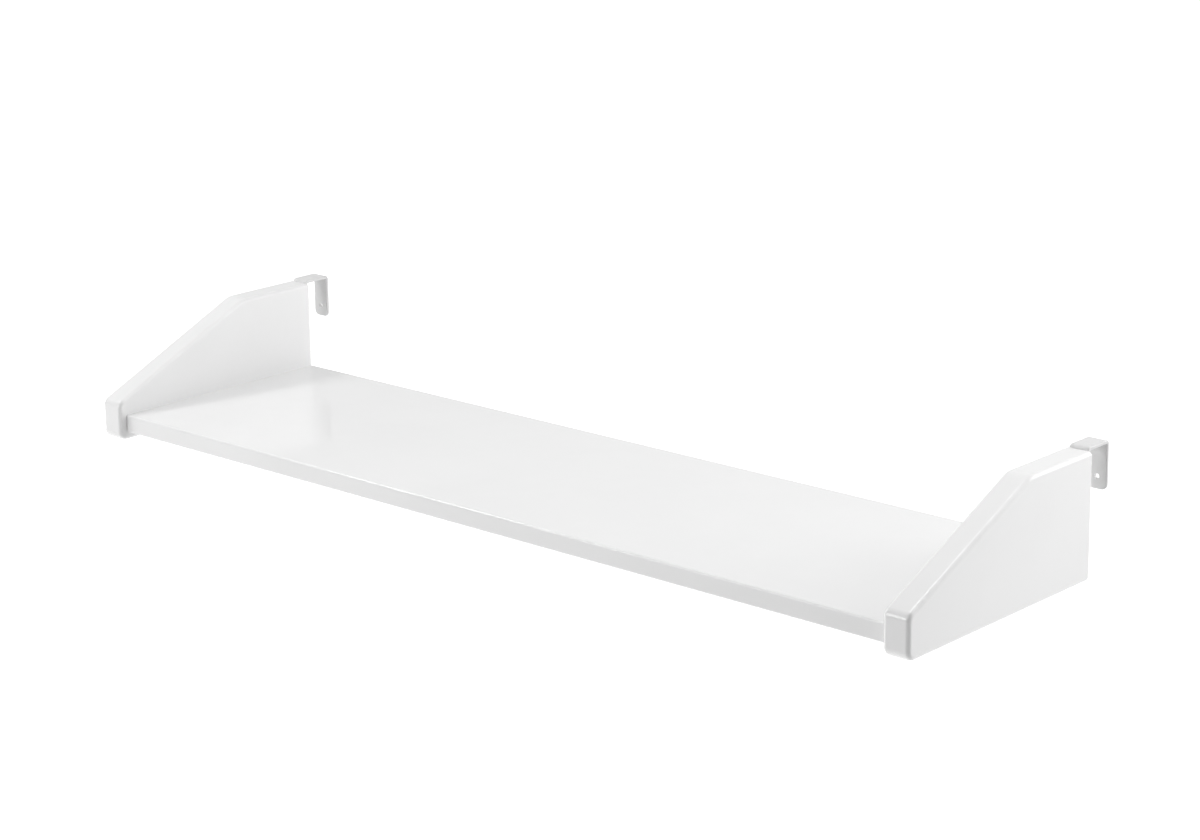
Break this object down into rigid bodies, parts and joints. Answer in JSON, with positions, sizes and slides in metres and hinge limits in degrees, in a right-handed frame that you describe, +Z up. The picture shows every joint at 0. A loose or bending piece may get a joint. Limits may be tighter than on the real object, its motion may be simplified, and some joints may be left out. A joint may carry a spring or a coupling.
{
  "type": "hanging shelf",
  "caption": "Hang-on shelf: sloped side panels, a board between them and bent steel hooks that drop over a guard rail or board edge.",
  "frame": {"origin": "midway between the screw holes in the hooks' rear legs, on the face that touches the rail", "axes": "X runs along the shelf, Y runs back through the rail, Z is up"},
  "size_m": [0.92, 0.2685, 0.1085],
  "materials": {
    "white_lacquer": "white satin lacquer on smooth board",
    "hook_powder_coat": "pale satin powder coat",
    "zinc_screw": "bright zinc plating",
    "plated_bolt": "nickel plating",
    "cam_zinc_alloy": "tumbled die-cast zinc",
    "beech": "plain turned and fluted wood"
  },
  "bodies": {
    "shelf": {"shelf_board": "white_lacquer", "left_side_panel": "white_lacquer", "right_side_panel": "white_lacquer", "left_rail_hook": "hook_powder_coat", "right_rail_hook": "hook_powder_coat", "left_upper_hook_screw": "zinc_screw", "left_lower_hook_screw": "zinc_screw", "right_upper_hook_screw": "zinc_screw", "right_lower_hook_screw": "zinc_screw", "left_front_cam_bolt": "plated_bolt", "left_rear_cam_bolt": "plated_bolt", "right_front_cam_bolt": "plated_bolt", "right_rear_cam_bolt": "plated_bolt", "left_front_dowel": "beech", "left_rear_dowel": "beech", "right_front_dowel": "beech", "right_rear_dowel": "beech"},
    "left_front_cam": {"left_front_cam_lock": "cam_zinc_alloy"},
    "left_rear_cam": {"left_rear_cam_lock": "cam_zinc_alloy"},
    "right_front_cam": {"right_front_cam_lock": "cam_zinc_alloy"},
    "right_rear_cam": {"right_rear_cam_lock": "cam_zinc_alloy"}
  },
  "joints": [
    {"name": "left_front_cam_turn", "type": "hinge", "parent": "shelf", "child": "left_front_cam", "pos_m": [-0.412, -0.221, -0.0705], "axis": [0, 0, 1], "range_deg": [0, 180]},
    {"name": "left_rear_cam_turn", "type": "hinge", "parent": "shelf", "child": "left_rear_cam", "pos_m": [-0.412, -0.0615, -0.0705], "axis": [0, 0, 1], "range_deg": [0, 180]},
    {"name": "right_front_cam_turn", "type": "hinge", "parent": "shelf", "child": "right_front_cam", "pos_m": [0.412, -0.221, -0.0705], "axis": [0, 0, -1], "range_deg": [0, 180]},
    {"name": "right_rear_cam_turn", "type": "hinge", "parent": "shelf", "child": "right_rear_cam", "pos_m": [0.412, -0.0615, -0.0705], "axis": [0, 0, -1], "range_deg": [0, 180]}
  ]
}
